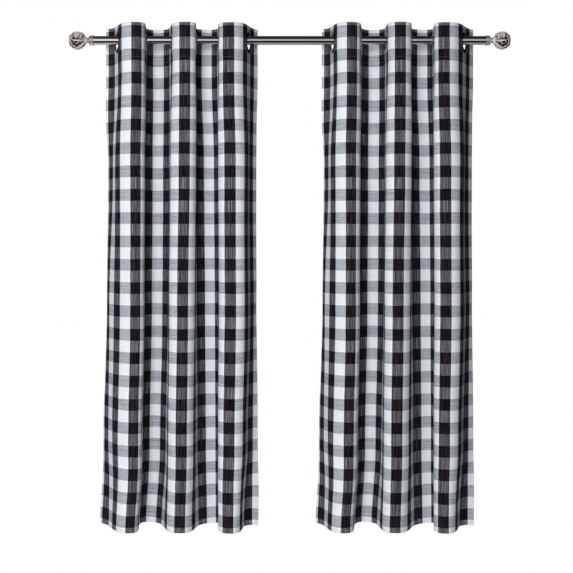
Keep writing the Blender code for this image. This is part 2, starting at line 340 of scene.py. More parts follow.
def makeCheckCloth():
    # Matt woven cotton. Black and white yarns cross in squares of black, white and two greys, the
    # light one streaked across and the dark one streaked down by uneven yarns.
    material, tree, shader = newMaterial("woven_cotton_check")
    uv = addNode(tree, "ShaderNodeUVMap", uv_map="cloth")
    inMm = addNode(tree, "ShaderNodeVectorMath", {0: uv, "Scale": 1000.0}, operation="SCALE")

    def patches(across, down, detail):
        stretched = addNode(tree, "ShaderNodeMapping", {0: inMm, "Scale": (1 / across, 1 / down, 1)})
        return addNode(tree, "ShaderNodeTexNoise", {
            "Vector": stretched, "Scale": 1.0, "Detail": detail, "Roughness": 0.6}, noise_dimensions="2D")

    warpFine = patches(check["fineStreak"], check["fineLength"], 1.0)
    warpBroad = patches(check["broadStreak"], check["broadLength"], 1.0)
    weftFine = patches(check["fineLength"], check["fineStreak"], 1.0)
    weftBroad = patches(check["broadLength"], check["broadStreak"], 1.0)
    cloud = patches(check["cloudAcross"], check["cloudDown"], 2.0)

    # yarns stray a little from straight
    strayed = addNode(tree, "ShaderNodeTexNoise", {
        "Vector": inMm, "Scale": 1 / check["bend"], "Detail": 1.5}, noise_dimensions="2D")
    centred = addNode(tree, "ShaderNodeVectorMath", {0: strayed.outputs["Color"], 1: (0.5, 0.5, 0.5)},
                      operation="SUBTRACT")
    wavy = addNode(tree, "ShaderNodeVectorMath", {0: centred, 1: (check["stray"],) * 3, 2: inMm},
                   operation="MULTIPLY_ADD")
    place = addNode(tree, "ShaderNodeSeparateXYZ", {0: wavy})

    def darkStripe(along, first):
        moved = addNode(tree, "ShaderNodeMath", {0: along, 1: first}, operation="SUBTRACT")
        pair = addNode(tree, "ShaderNodeMath", {0: moved, 1: 2 * check["square"]}, operation="DIVIDE")
        part = addNode(tree, "ShaderNodeMath", {0: pair}, operation="FRACT")
        return addNode(tree, "ShaderNodeMath", {0: part, 1: 0.5}, operation="LESS_THAN")

    darkWarp = darkStripe(place.outputs["X"], check["firstColumn"])
    darkWeft = darkStripe(place.outputs["Y"], check["firstRow"])

    # the plain weave: the weft rises over every second warp
    def rise(along):
        turns = addNode(tree, "ShaderNodeMath", {0: along, 1: math.pi / check["threadPitch"]},
                        operation="MULTIPLY")
        return addNode(tree, "ShaderNodeMath", {0: turns}, operation="COSINE")

    weave = addNode(tree, "ShaderNodeMath", {0: rise(place.outputs["X"]), 1: rise(place.outputs["Y"])},
                    operation="MULTIPLY")

    # thick yarns show more: each yarn's streaks push the other one under
    def swing(noiseNode, amount, base):
        centred = addNode(tree, "ShaderNodeMath", {0: noiseNode, 1: 0.5}, operation="SUBTRACT")
        return addNode(tree, "ShaderNodeMath", {0: centred, 1: amount, 2: base}, operation="MULTIPLY_ADD")

    needed, lines, bands, lineSwing = (
        addNode(tree, "ShaderNodeMix", {"Factor": darkWarp, "A": onWhite, "B": onBlack})
        for onWhite, onBlack in (
            (check["weftOverWhite"], check["weftOverBlack"]), (weftFine, warpFine),
            (weftBroad, warpBroad), (check["swingOnWhite"], check["swingOnBlack"])))
    needed = swing(lines, lineSwing, needed)
    needed = swing(bands, lineSwing, needed)
    over = addNode(tree, "ShaderNodeMath", {0: weave, 1: needed}, operation="SUBTRACT")
    weftShows = addNode(tree, "ShaderNodeMapRange", {
        "Value": over, "From Min": -check["crossing"], "From Max": check["crossing"]},
        interpolation_type="SMOOTHSTEP")

    # yarn colours: some of the black has faded, and white looks cooler among black
    faded = addNode(tree, "ShaderNodeMapRange", {
        "Value": warpFine, "From Min": check["fadesFrom"], "From Max": check["fadedAt"]})
    black = addNode(tree, "ShaderNodeMix", {
        "Factor": faded, "A": check["blackYarn"], "B": check["fadedYarn"]}, data_type="RGBA")
    yarns = []
    for isDark, amongDark in ((darkWarp, darkWeft), (darkWeft, darkWarp)):
        white = addNode(tree, "ShaderNodeMix", {
            "Factor": amongDark, "A": check["whiteYarn"], "B": check["amongBlack"]}, data_type="RGBA")
        yarns.append(addNode(tree, "ShaderNodeMix", {
            "Factor": isDark, "A": white, "B": black}, data_type="RGBA"))
    warp, weft = yarns
    shown = addNode(tree, "ShaderNodeMix", {"Factor": weftShows, "A": warp, "B": weft}, data_type="RGBA")

    # painted shade and light: thin places between yarns are darker and thick yarns lighter
    depth = addNode(tree, "ShaderNodeMath", {0: warpFine, 1: weftFine}, operation="ADD")
    shade = addNode(tree, "ShaderNodeMapRange", {
        "Value": depth, "From Min": check["thin"], "From Max": check["thick"],
        "To Min": check["thinShade"], "To Max": check["thickShade"]})
    shade = swing(cloud, check["cloudShade"], shade)
    shaded = addNode(tree, "ShaderNodeVectorMath", {0: shown, "Scale": shade}, operation="SCALE")

    # relief: threads over and under, and the ridges of thick yarns
    relief = addNode(tree, "ShaderNodeMath", {0: weave, 1: check["weaveRelief"], 2: depth},
                     operation="MULTIPLY_ADD")
    bump = addNode(tree, "ShaderNodeBump", {
        "Strength": check["bump"], "Distance": check["reliefMetres"], "Height": relief})
    setInputs(tree, shader, {"Base Color": shaded, "Normal": bump, "Roughness": 0.95,
                             "Sheen Weight": 0.01, "Sheen Roughness": 0.6, "Specular IOR Level": 0.1})
    return material


cloth = {
    "width": 1.090, "length": 1.600,        # flat, hems turned
    "layer": 0.0007, "layersInHem": 2,      # one thickness of cloth, a little over the real 0.5 mm
    "heading": 0.110, "bottomHem": 0.012, "sideHem": 0.011,
    "eyelets": 6, "firstEyelet": 0.070, "eyeletPitch": 0.189, "holeRadius": 0.0241,
    "anchorEyelet": 3,                      # the one whose place along the rod sets the panel's
    "foldTops": (0.153, 0.349, 0.529, 0.699, 0.898),    # where it turns over between the eyelets
    "leans": {"left": -0.0955, "right": 0.0955},        # along X for each metre behind the rod
    # waves loosen it: how far they push, and how wide they are across and down the cloth
    "ripple": {"push": 0.0016, "across": 0.07, "down": 0.42, "seed": 3.1},
    "flutter": {"push": 0.0007, "across": 0.026, "down": 0.11, "seed": 7.7},
    "wavesFrom": 0.09, "wavesGrow": 0.18,               # from the top edge
    "hemWave": {"push": 0.0022, "across": 0.06, "down": 1.0, "seed": 5.3},
    "hemWaveFrom": 1.15, "hemWaveGrows": 0.45,
}
clothGrid = {
    # how finely the cloth is made: columns on each side of an eyelet, bunched at the tops of the folds,
    # and rows in its heading, below it and, in shares of its depth, in its hem
    "columnsEachSide": 19, "bunching": 0.25, "edgeColumns": (0.003, 0.007), "leastColumn": 0.0012,
    "headingRows": 20, "rowsBelow": 150, "hemRows": (0.35, 0.7, 1.0),
    "walk": 0.001,                          # the step of the walk along the cloth
}
pucker = {
    # two short creases that slant out from under each ring, from the top edge and the eyelet's middle
    "top": 0.082, "grow": 0.03, "fadesFrom": 0.13, "fade": 0.07, "fadeStep": 0.012,
    "aside": 0.02934, "slope": 0.22, "halfWidth": 0.007, "depth": 0.0011,
}

# How the cloth turns at six heights over the rod, the same folds as the CAD panels'. Angles are in
# degrees from the rod: six walls from the left, of which the first, third and fifth run to the front,
# and the two edges. A higher power turns each wall over later.
foldTable = [
    {"height": 0.046, "flat": 0.036, "power": 1.1, "edges": (-5, 46), "walls": (71, 89, 82, 90, 89, 70)},
    {"height": -0.110, "flat": 0.036, "power": 1.1, "edges": (-5, 46), "walls": (71, 89, 82, 90, 89, 70)},
    {"height": -0.380, "flat": 0.012, "power": 1.3, "edges": (61, 51), "walls": (76, 99, 93, 98, 101, 80)},
    {"height": -0.840, "flat": 0.012, "power": 1.5, "edges": (84, 57), "walls": (64, 96, 91, 89, 98, 77)},
    {"height": -1.290, "flat": 0.012, "power": 1.65, "edges": (68, 28), "walls": (65, 94, 87, 83, 99, 78)},
    {"height": -1.554, "flat": 0.012, "power": 2.2, "edges": (33, -43), "walls": (71, 89, 78, 73, 95, 80)},
]
headingFlat = foldTable[0]["flat"]
eyeletPlaces = [cloth["firstEyelet"] + cloth["eyeletPitch"] * i for i in range(cloth["eyelets"])]
wallEnds = [0.0, *cloth["foldTops"], cloth["width"]]


def eased(part):
    # 0 to 1 with level ends
    part = np.clip(part, 0.0, 1.0)
    return part * part * (3 - 2 * part)


def foldsAt(height):
    # the table's values at one height, eased from each row to the next
    upper, lower = foldTable[0], foldTable[1]
    for upper, lower in zip(foldTable, foldTable[1:]):
        if height >= lower["height"]:
            break
    part = float(eased((upper["height"] - height) / (upper["height"] - lower["height"])))
    return {key: np.multiply(upper[key], 1 - part) + np.multiply(lower[key], part) for key in upper}


def wallAngles(along, folds):
    angles = np.zeros_like(along)
    for wall, eyelet in enumerate(eyeletPlaces):
        steep = folds["walls"][wall]
        for side, end in ((-1, wallEnds[wall]), (1, wallEnds[wall + 1])):
            here = ((along - eyelet) * side >= 0) & (abs(along - eyelet) <= abs(end - eyelet))
            turned = (abs(along[here] - eyelet) - folds["flat"]) / (abs(end - eyelet) - folds["flat"])
            turned = np.clip(turned, 0.0, 1.0)
            if 0.0 < end < cloth["width"]:
                angle = steep * (1 - turned ** folds["power"])
            else:
                edge = folds["edges"][0 if side < 0 else 1]
                angle = steep + (edge - steep) * turned
            angles[here] = angle * (-1 if wall % 2 == 0 else 1)
    return np.radians(angles)


def hangRow(height, anchor, lean, columns):
    # walks along the cloth at one height, and gives x and y at each column
    step = clothGrid["walk"]
    along = np.linspace(0.0, cloth["width"], round(cloth["width"] / step) + 1)
    angle = wallAngles(along, foldsAt(height))
    x = np.concatenate([[0.0], np.cumsum(np.cos(angle[1:]) + np.cos(angle[:-1]))]) * step / 2
    y = np.concatenate([[0.0], np.cumsum(np.sin(angle[1:]) + np.sin(angle[:-1]))]) * step / 2
    drift = np.interp(eyeletPlaces, along, y)      # taken out, so that each eyelet lies over the rod
    y -= drift[0]
    for place, change in zip(eyeletPlaces, np.diff(drift)):
        y -= change * eased((along - place - headingFlat) / (cloth["eyeletPitch"] - 2 * headingFlat))
    x += lean * y
    x += anchor - np.interp(eyeletPlaces[cloth["anchorEyelet"]], along, x)
    return np.interp(columns, along, x), np.interp(columns, along, y)


def clothColumns():
    # places along the cloth, closest together at the tops of the folds and in the side hems
    edge = [0.0, *clothGrid["edgeColumns"], cloth["sideHem"]]
    places = edge + [cloth["width"] - place for place in edge]
    for part in np.linspace(0, 1, clothGrid["columnsEachSide"] + 1):
        spread = (1 + clothGrid["bunching"]) * part - clothGrid["bunching"] * part ** 3
        for wall, eyelet in enumerate(eyeletPlaces):
            places += [eyelet + (end - eyelet) * spread for end in wallEnds[wall:wall + 2]]
    kept = [0.0]
    for place in sorted(places):
        if place <= cloth["width"] and place - kept[-1] > clothGrid["leastColumn"]:
            kept.append(place)
    return np.array(kept)


def clothRows():
    # distances down the cloth
    hem = cloth["length"] - cloth["bottomHem"]
    heading = np.linspace(0.0, cloth["heading"], clothGrid["headingRows"] + 1)
    below = np.linspace(cloth["heading"], hem, clothGrid["rowsBelow"] + 1)[1:]
    return np.concatenate([heading, below, hem + cloth["bottomHem"] * np.array(clothGrid["hemRows"])])


def gridNormals(points):
    down = np.gradient(points, axis=0)
    across = np.gradient(points, axis=1)
    normals = np.cross(down, across)
    return normals / np.linalg.norm(normals, axis=2, keepdims=True)


def waveAt(wave, along, down):
    return wave["push"] * noise.noise(Vector((along / wave["across"], down / wave["down"], wave["seed"])))


def puckersAt(columns, rows):
    # how deep the creases under the rings are, four lengths by turns
    depth = np.zeros((len(rows), len(columns)))
    below = rows - pucker["top"]
    for k, eyelet in enumerate(eyeletPlaces):
        for slant in (-1, 1):
            fade = pucker["fade"] + pucker["fadeStep"] * ((k * 5 + slant) % 4)
            reach = eased(below / pucker["grow"]) * (1 - eased((rows - pucker["fadesFrom"]) / fade))
            centre = eyelet + slant * (pucker["aside"] + pucker["slope"] * below)
            across = (columns[None, :] - centre[:, None]) / pucker["halfWidth"]
            depth += pucker["depth"] * reach[:, None] * np.exp(-across ** 2)
    return depth


def hangCloth(side):
    # the hung surface: folds from the table, then ripples, puckers and a wavy hem
    columns, rows = clothColumns(), clothRows()
    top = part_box("panel_" + side)[1].z
    ringLow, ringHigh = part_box(f"eyelet_{side}_{cloth['anchorEyelet'] + 1}")
    anchor = (ringLow.x + ringHigh.x) / 2
    points = np.zeros((len(rows), len(columns), 3))
    for i, down in enumerate(rows):
        x, y = hangRow(top - down, anchor, cloth["leans"][side], columns)
        points[i, :, 0], points[i, :, 1], points[i, :, 2] = x, y, top - down
    waves = np.array([[waveAt(cloth["ripple"], along, down) + waveAt(cloth["flutter"], along, down)
                       for along in columns] for down in rows])
    waves *= eased((rows - cloth["wavesFrom"]) / cloth["wavesGrow"])[:, None]
    push = waves - puckersAt(columns, rows)
    points += gridNormals(points) * push[:, :, None]
    hemWave = np.array([waveAt(cloth["hemWave"], along, cloth["hemWave"]["down"]) for along in columns])
    hemward = eased((rows - cloth["hemWaveFrom"]) / cloth["hemWaveGrows"])
    points[:, :, 2] += hemWave[None, :] * hemward[:, None]
    return {"columns": columns, "rows": rows, "points": points, "normals": gridNormals(points)}


def onCloth(hung, what, along, down):
    # the cloth's points or normals at any places along and down it
    grid, rows, columns = hung[what], hung["rows"], hung["columns"]
    i = np.interp(down, rows, np.arange(len(rows)))
    j = np.interp(along, columns, np.arange(len(columns)))
    i0 = np.minimum(i.astype(int), len(rows) - 2)
    j0 = np.minimum(j.astype(int), len(columns) - 2)
    fi, fj = (i - i0)[:, None], (j - j0)[:, None]
    upper = grid[i0, j0] * (1 - fj) + grid[i0, j0 + 1] * fj
    lower = grid[i0 + 1, j0] * (1 - fj) + grid[i0 + 1, j0 + 1] * fj
    return upper * (1 - fi) + lower * fi


def ringDrop(side):
    # how far down the cloth the middles of its rings are
    ringLow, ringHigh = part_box(f"eyelet_{side}_1")
    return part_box("panel_" + side)[1].z - (ringLow.z + ringHigh.z) / 2


def flatPattern(hung, drop):
    # the flat grid without the cells in the holes, the corners beside them drawn to the holes' edges
    columns, rows = hung["columns"], hung["rows"]
    grid = np.stack(np.meshgrid(columns, rows), axis=2)
    middles = (grid[1:, 1:] + grid[:-1, :-1]) / 2
    inHole = np.zeros(middles.shape[:2], bool)
    for eyelet in eyeletPlaces:
        inHole |= np.hypot(middles[..., 0] - eyelet, middles[..., 1] - drop) < cloth["holeRadius"]
    touchesHole = np.zeros(grid.shape[:2], bool)
    for i in (0, 1):
        for j in (0, 1):
            touchesHole[i:i + len(inHole), j:j + len(inHole[0])] |= inHole
    places = grid.copy()
    for eyelet in eyeletPlaces:
        out = grid - (eyelet, drop)
        away = np.hypot(out[..., 0], out[..., 1])
        near = touchesHole & (away < 2 * cloth["holeRadius"])
        pull = cloth["holeRadius"] / np.maximum(away[near], mergeDistance)     # and its middle is safe
        places[near] = (eyelet, drop) + out[near] * pull[:, None]
    wide = len(columns)
    corners = [int(i * wide + j) for i, j in np.argwhere(~inHole)]
    faces = [(corner, corner + wide, corner + wide + 1, corner + 1) for corner in corners]
    return places.reshape(-1, 2), faces


def makePanel(side, hung, material):
    places, faces = flatPattern(hung, ringDrop(side))
    points = onCloth(hung, "points", places[:, 0], places[:, 1])
    sheetMesh = bpy.data.meshes.new("cloth")
    sheetMesh.from_pydata(points.tolist(), [], faces)
    sheetMesh.materials.append(material)
    uv = sheetMesh.uv_layers.new(name="cloth")
    for loop in sheetMesh.loops:
        uv.data[loop.index].uv = places[loop.vertex_index]
    sheet = newPiece("cloth_" + side, sheetMesh)

    # cloth is double in its hems and single between them
    hem = sheet.vertex_groups.new(name="hem")
    across, down = places[:, 0], places[:, 1]
    doubled = ((down < cloth["heading"]) | (down > cloth["length"] - cloth["bottomHem"])
               | (across < cloth["sideHem"]) | (across > cloth["width"] - cloth["sideHem"]))
    hem.add([int(i) for i in np.flatnonzero(doubled)], 1.0, "REPLACE")
    dropLoosePoints(sheetMesh)
    thick = sheet.modifiers.new("Thickness", "SOLIDIFY")
    thick.thickness = cloth["layer"] * cloth["layersInHem"]
    thick.offset = 0.0
    thick.use_even_offset = True
    thick.vertex_group = "hem"
    thick.thickness_vertex_group = 1 / cloth["layersInHem"]
    curtain = asPlainMesh(sheet, "curtain_" + side)
    curtain.data.shade_smooth()
    return curtain


# Sewing

sewing = {
    "pitch": 0.0032, "length": 0.0027, "thread": 0.00055,
    "headingRows": (0.0817, 0.1075), "bottomRow": 0.009, "sideRow": 0.008,     # from each edge
    "startsIn": 0.004, "endsIn": 0.003,             # from the edges
    "acrossStep": 0.003, "downStep": 0.004,         # between points of a row before it is stitched
    "proud": 0.1,                                   # the thread's middle over the cloth, in its thickness
    "tilt": 0.09, "seed": 4,                        # radians by which stitches lean at most
    "sides": 5, "rings": 4,                         # of the bead that each stitch is
    "shade": "#77706f", "colour": "#a0938e", "twist": 2500.0,      # sets a band every 0.25 mm along it
}


def makeThread():
    # Spun polyester thread, grey, with a dull silky gleam and its twist as fine slanting bands of painted
    # shade.
    material, tree, shader = newMaterial("spun_polyester_thread")
    place = addNode(tree, "ShaderNodeTexCoord").outputs["Object"]
    # painted shade: darker bands stand for the grooves of the twist
    twist = addNode(tree, "ShaderNodeTexWave", {
        "Vector": place, "Scale": sewing["twist"], "Distortion": 1.0}, bands_direction="DIAGONAL")
    tint = addNode(tree, "ShaderNodeMix", {
        "Factor": twist, "A": sewing["shade"], "B": sewing["colour"]}, data_type="RGBA")
    setInputs(tree, shader, {"Base Color": tint, "Roughness": 0.6, "Sheen Weight": 0.2})
    return material


def makeStitchTree():
    # each line becomes evenly spaced stitches that lie along it and on the cloth
    tree, given = newShapeTree("running_stitches", {
        "Pitch": "Float", "Length": "Float", "Thread": "Float", "Seed": "Int", "Material": "Material"})
    line = addNode(tree, "GeometryNodeMeshToCurve", {0: given["Geometry"]})
    spaced = addNode(tree, "GeometryNodeResampleCurve", {"Curve": line, "Length": given["Pitch"]},
                     mode="LENGTH")
    outward = addNode(tree, "GeometryNodeInputNamedAttribute", {"Name": "outward"},
                      data_type="FLOAT_VECTOR")
    forward = addNode(tree, "FunctionNodeAlignRotationToVector", {
        "Vector": addNode(tree, "GeometryNodeInputTangent")}, axis="X")
    upright = addNode(tree, "FunctionNodeAlignRotationToVector", {"Rotation": forward, "Vector": outward},
                      axis="Z", pivot_axis="X")
    tilt = addNode(tree, "FunctionNodeRandomValue", {
        "Min": (0, 0, -sewing["tilt"]), "Max": (0, 0, sewing["tilt"]), "Seed": given["Seed"]},
        data_type="FLOAT_VECTOR")
    turned = addNode(tree, "FunctionNodeRotateRotation", {"Rotation": upright, 1: tilt},
                     rotation_space="LOCAL")
    bead = addNode(tree, "GeometryNodeMeshUVSphere", {
        "Segments": sewing["sides"], "Rings": sewing["rings"], "Radius": 0.5})
    thread = given["Thread"]
    size = addNode(tree, "ShaderNodeCombineXYZ", {"X": given["Length"], "Y": thread, "Z": thread})
    stitches = addNode(tree, "GeometryNodeInstanceOnPoints", {
        "Points": spaced, "Instance": bead, "Rotation": turned, "Scale": size})
    endShapeTree(tree, stitches, given["Material"])
    return tree


def makeStitches(side, hung, tree, material):
    # rows of stitches on both faces: under the heading, above the hem and down both sides
    wide, long = cloth["width"], cloth["length"]
    start, end = sewing["startsIn"], sewing["endsIn"]
    across = np.arange(start, wide - end, sewing["acrossStep"])
    down = np.arange(start, long - end, sewing["downStep"])
    lines = [(across, np.full_like(across, row))
             for row in (*sewing["headingRows"], long - sewing["bottomRow"])]
    lines += [(np.full_like(down, column), down)
              for column in (sewing["sideRow"], wide - sewing["sideRow"])]
    lift = cloth["layer"] * cloth["layersInHem"] / 2 + sewing["thread"] * sewing["proud"]
    places, outward, edges = [], [], []
    for face in (-1, 1):
        for along, drop in lines:
            first = len(places)
            away = onCloth(hung, "normals", along, drop) * face
            places += (onCloth(hung, "points", along, drop) + away * lift).tolist()
            outward += away.tolist()
            edges += [(i, i + 1) for i in range(first, len(places) - 1)]
    seams = bpy.data.meshes.new("sewing_lines")
    seams.from_pydata(places, edges, [])
    outwardValues = seams.attributes.new("outward", "FLOAT_VECTOR", "POINT")
    outwardValues.data.foreach_set("vector", np.array(outward).ravel())
    values = {"Pitch": sewing["pitch"], "Length": sewing["length"], "Thread": sewing["thread"],
              "Seed": sewing["seed"], "Material": material}
    return shapedByTree(newPiece("sewing_lines", seams), tree, values, "stitches_" + side)


# Metal

rodLook = {
    "wall": 0.001, "edge": 0.0003, "sides": 96, "colour": "#dcdad7",
    "grain": (12, 1400, 1400), "detail": 2.0,       # to the metre: lines of 0.7 mm along the tube
    "roughness": (0.07, 0.16), "bump": 0.06, "relief": 0.0002,
}
ringLook = {
    # the flanges' outline: out from the inner edge or in from the outer one, and away from the cloth
    "inner": 0.022, "fromInner": ((0, 0), (0, 0.0012), (0.0004, 0.0021), (0.0014, 0.0026),
                                  (0.0040, 0.0027), (0.0075, 0.0024)),
    "outer": 0.034, "fromOuter": ((0.0016, 0.0018), (0.0002, 0.00135), (0, 0.0011), (0.0005, 0.0010)),
    "barrel": 0.0015, "groove": 0.0010, "sides": 56, "colour": "#d6d2cd",
    "clothRun": 0.02,                               # a ring faces as the cloth does this far on each side
    "grain": (220, 220, 220), "detail": 1.0,        # dimples of 4.5 mm
    "roughness": (0.14, 0.26), "bump": 0.12, "relief": 0.0004,
}


def newGrainedMetal(name, look, metallic, middle=(0, 0, 0)):
    # a metal whose shine is broken by fine noise, which is also a slight relief
    material, tree, shader = newMaterial(name)
    place = addNode(tree, "ShaderNodeTexCoord").outputs["Object"]
    local = addNode(tree, "ShaderNodeVectorMath", {0: place, 1: middle}, operation="SUBTRACT")
    stretched = addNode(tree, "ShaderNodeVectorMath", {0: local, 1: look["grain"]}, operation="MULTIPLY")
    grain = addNode(tree, "ShaderNodeTexNoise", {
        "Vector": stretched, "Scale": 1.0, "Detail": look["detail"]})
    smooth, rough = look["roughness"]
    roughness = addNode(tree, "ShaderNodeMapRange", {"Value": grain, "To Min": smooth, "To Max": rough})
    bump = addNode(tree, "ShaderNodeBump", {
        "Strength": look["bump"], "Distance": look["relief"], "Height": grain})
    setInputs(tree, shader, {"Base Color": look["colour"], "Metallic": metallic,
                             "Roughness": roughness, "Normal": bump})
    return material, tree, shader, local


def makePolishedRodMetal():
    # Nickel-plated steel tube, polished: a clear mirror, a little broken by fine lines along the tube.
    return newGrainedMetal("polished_nickel_plated_steel", rodLook, 1.0)[0]


def makeRingMetal():
    # Stamped brass eyelet, nickel plated: bright, with the soft dimpling that stamping leaves.
    return newGrainedMetal("stamped_nickel_plated_brass", ringLook, 1.0)[0]


def makeRod(material):
    low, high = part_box("rod")
    radius = (high.z - low.z) / 2
    half, bore, edge = (high.x - low.x) / 2, radius - rodLook["wall"], rodLook["edge"]
    profile = [(bore, half), (radius - edge, half), (radius, half - edge),
               (radius, edge - half), (radius - edge, -half), (bore, -half)]
    rod = turnedPiece("curtain_rod", profile, rodLook["sides"], (1, 0, 0), (low + high) / 2, material)
    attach(rod, "root")
    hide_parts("rod")


def makeRings(side, hung, material):
    # a domed flange on each face of the cloth, and a barrel through its hole
    half = [(ringLook["inner"] + out, away) for out, away in ringLook["fromInner"]]
    half += [(ringLook["outer"] - back, away) for back, away in ringLook["fromOuter"]]
    half.append((ringLook["inner"] + ringLook["barrel"], ringLook["groove"]))
    profile = half[::-1] + [(radius, -away) for radius, away in half[1:]]
    drop = ringDrop(side)
    rings = []
    for k, place in enumerate(eyeletPlaces):
        beside = np.array([place - ringLook["clothRun"], place + ringLook["clothRun"]])
        before, after = onCloth(hung, "points", beside, np.array([drop, drop]))
        run = Vector(after - before).normalized()
        low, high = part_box(f"eyelet_{side}_{k + 1}")
        ring = turnedPiece(f"ring_{side}_{k + 1}", profile, ringLook["sides"], (-run.y, run.x, 0),
                           (low + high) / 2, material)
        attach(ring, "root")
        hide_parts(f"eyelet_{side}_{k + 1}")
        rings.append(ring)
    return rings


# Finials: an openwork ball of cast scrolls on a ringed cap

finial = {
    "length": 0.027,                 # from the ball's centre to its outer end
    "copies": 3,                     # the scrolls repeat three times round the ball
    "lift": 0.42,                    # how round the scrolls are: their rise over half their width
    "strokeSides": 10, "pointsPerTurn": 26, "pointsPerKnot": 8, "beadRounds": 3,      # how finely made
    # the pierced shell under the scrolls runs out in a cone to its neck. Angles are in degrees.
    "shellDrop": 0.0012, "shellWall": 0.0015, "shellStep": 2.0, "shellSharp": 50,
    "taperFrom": 50, "neck": 0.0084,
    "edgePull": 0.6,                 # corners within this share of an opening are drawn to its edge
    # painted shade: the dark ball inside stands in for the shadow in the hollow ball
    "core": 0.0235, "coreSides": 64, "coreRows": 32,      # the dark inside, seen through the openings
    # painted shade: the colour darkens towards the ball's centre, into the recesses
    "colour": "#f8f2ec", "recessShade": "#978e8a", "paleAt": 0.0004,     # how far over the ball it is palest
    "ballMetallic": 0.28, "capMetallic": 0.85,            # the lacquer on the ball is duller
    "grain": (600, 600, 600), "detail": 2.0,              # to the metre: a skin of 1.7 mm
    "roughness": (0.20, 0.36), "bump": 0.15, "relief": 0.0003,
    # colours of the painted shade inside the ball, flecked a little by noise
    "black": "#0c090b", "shadeFlecks": "#1d1719", "shadeFleckGrain": 300.0,
}
cap = {
    "bore": 0.01445, "depth": 0.012, "gap": 0.0003,       # the sleeve over the rod's end, and its seat
    # the stem that carries on from the ball's neck: out from the neck, and on from the cap's start
    "stem": ((-0.0022, 0), (-0.0022, 0.0014), (0.0002, 0.0018), (0.0012, 0.0030)),
    # the cove up to the sleeve, which starts this far before the sleeve's floor
    "coveBefore": 0.0035, "coveIn": 0.0012, "coveRise": 0.0072, "coveRun": 0.0030,
    "coveFrom": 0.1, "coveSteps": 7,     # radians of its quarter turn that are left out
    # beads: in from the sleeve's outside, on from its floor or its end, and half their width
    "floorBead": (0.0022, 0.0020, 0.0024), "endBead": (0.0016, -0.0030, 0.0026),
    "beadBulge": 0.75, "beadSteps": 9,
    "lip": 0.0008, "sides": 72,
}

# One set of scrolls, in degrees on the ball: towards the rod, and up from the front. Widths are
# half widths in mm, and a stretch makes a scroll longer round the ball.
scrolls = [
    {"at": (8, 41), "radii": (0.9, 8.6), "stretch": 1.75, "turns": 2.3, "start": 150, "widths": (1.5, 1.7)},
    {"at": (50, 2), "radii": (2.6, 2.6), "stretch": 1.0, "turns": 1.0, "start": 0, "widths": (0.9, 0.9)},
]
stems = [
    {"points": ((-20, -2), (-12, -8), (0, -9), (14, -9), (34, -12), (56, -12)), "widths": (1.1, 2.1, 1.7)},
    {"points": ((-26, 40), (-35, 20), (-39, 0), (-38, -22), (-26, -46)), "widths": (1.5, 1.4, 1.6)},
    {"points": ((9, -62), (30, -52), (46, -38), (58, -28)), "widths": (1.0, 4.6, 1.2)},
    {"points": ((30, 20), (38, 34), (44, 50), (50, 66), (60, 80)), "widths": (1.5, 1.9, 1.4)},
    {"points": ((36, 6), (29, 18), (32, 40), (30, 62), (18, 80)), "widths": (1.2, 2.0, 1.4)},
    {"points": ((-54, -73), (-54, -43), (-54, -13), (-54, 17), (-54, 47)), "widths": (1.6, 1.6, 1.6)},
]
beads = [{"at": (-13, -50), "radius": 2.5}, {"at": (12, -22), "radius": 2.1}]      # in mm

# Openings in the shell: place, half sizes and turn, all in degrees
openings = [
    {"at": (-16, 5), "half": (11, 9.5), "turn": 0},
    {"at": (9, 3), "half": (11, 5), "turn": 0},
    {"at": (-30, -17), "half": (8.5, 13), "turn": 10},
    {"at": (0, -19), "half": (14, 8), "turn": 0},
    {"at": (-15, -38), "half": (13, 10), "turn": -25},
    {"at": (3, -48), "half": (11, 12), "turn": 0},
    {"at": (23, -36), "half": (15, 10), "turn": 35},
    {"at": (46, -24), "half": (8, 9), "turn": 0},
    {"at": (50, 2), "half": (2.8, 2.8), "turn": 0},
    {"at": (-46, -12), "half": (3, 16), "turn": 0},
]

ballLow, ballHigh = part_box("finial_ball_left")
ballRadius = (ballHigh.z - ballLow.z) / 2


def smoothPath(knots, part):
    # a Catmull-Rom curve through the knots
    padded = np.vstack([2 * knots[0] - knots[1], knots, 2 * knots[-1] - knots[-2]])
    place = part * (len(knots) - 1)
    i = np.minimum(place.astype(int), len(knots) - 2)
    t = (place - i)[:, None]
    a, b, c, d = padded[i], padded[i + 1], padded[i + 2], padded[i + 3]
    bend, twist = 2 * a - 5 * b + 4 * c - d, 3 * b - a - 3 * c + d
    path = 0.5 * (2 * b + (c - a) * t + bend * t ** 2 + twist * t ** 3)
    return path[:, 0], path[:, 1]


def strokePoints(stroke):
    # (towards the rod, round the ball, half width), all in mm on the ball's flat map
    perDegree = 1000 * math.radians(1) * ballRadius
    if "turns" in stroke:
        part = np.linspace(0, 1, int(stroke["turns"] * finial["pointsPerTurn"]))
        radius = stroke["radii"][0] + (stroke["radii"][1] - stroke["radii"][0]) * part
        angle = np.radians(stroke["start"] + 360 * stroke["turns"] * part)
        across = stroke["at"][0] * perDegree + radius * np.cos(angle)
        around = stroke["at"][1] * perDegree + radius * np.sin(angle) * stroke["stretch"]
        width = np.interp(part, (0, 1), stroke["widths"])
    else:
        knots = np.array(stroke["points"], float) * perDegree
        part = np.linspace(0, 1, finial["pointsPerKnot"] * len(knots))
        across, around = smoothPath(knots, part)
        width = np.interp(part, (0, 0.5, 1), stroke["widths"])
    return np.stack([across, around, width], axis=1)


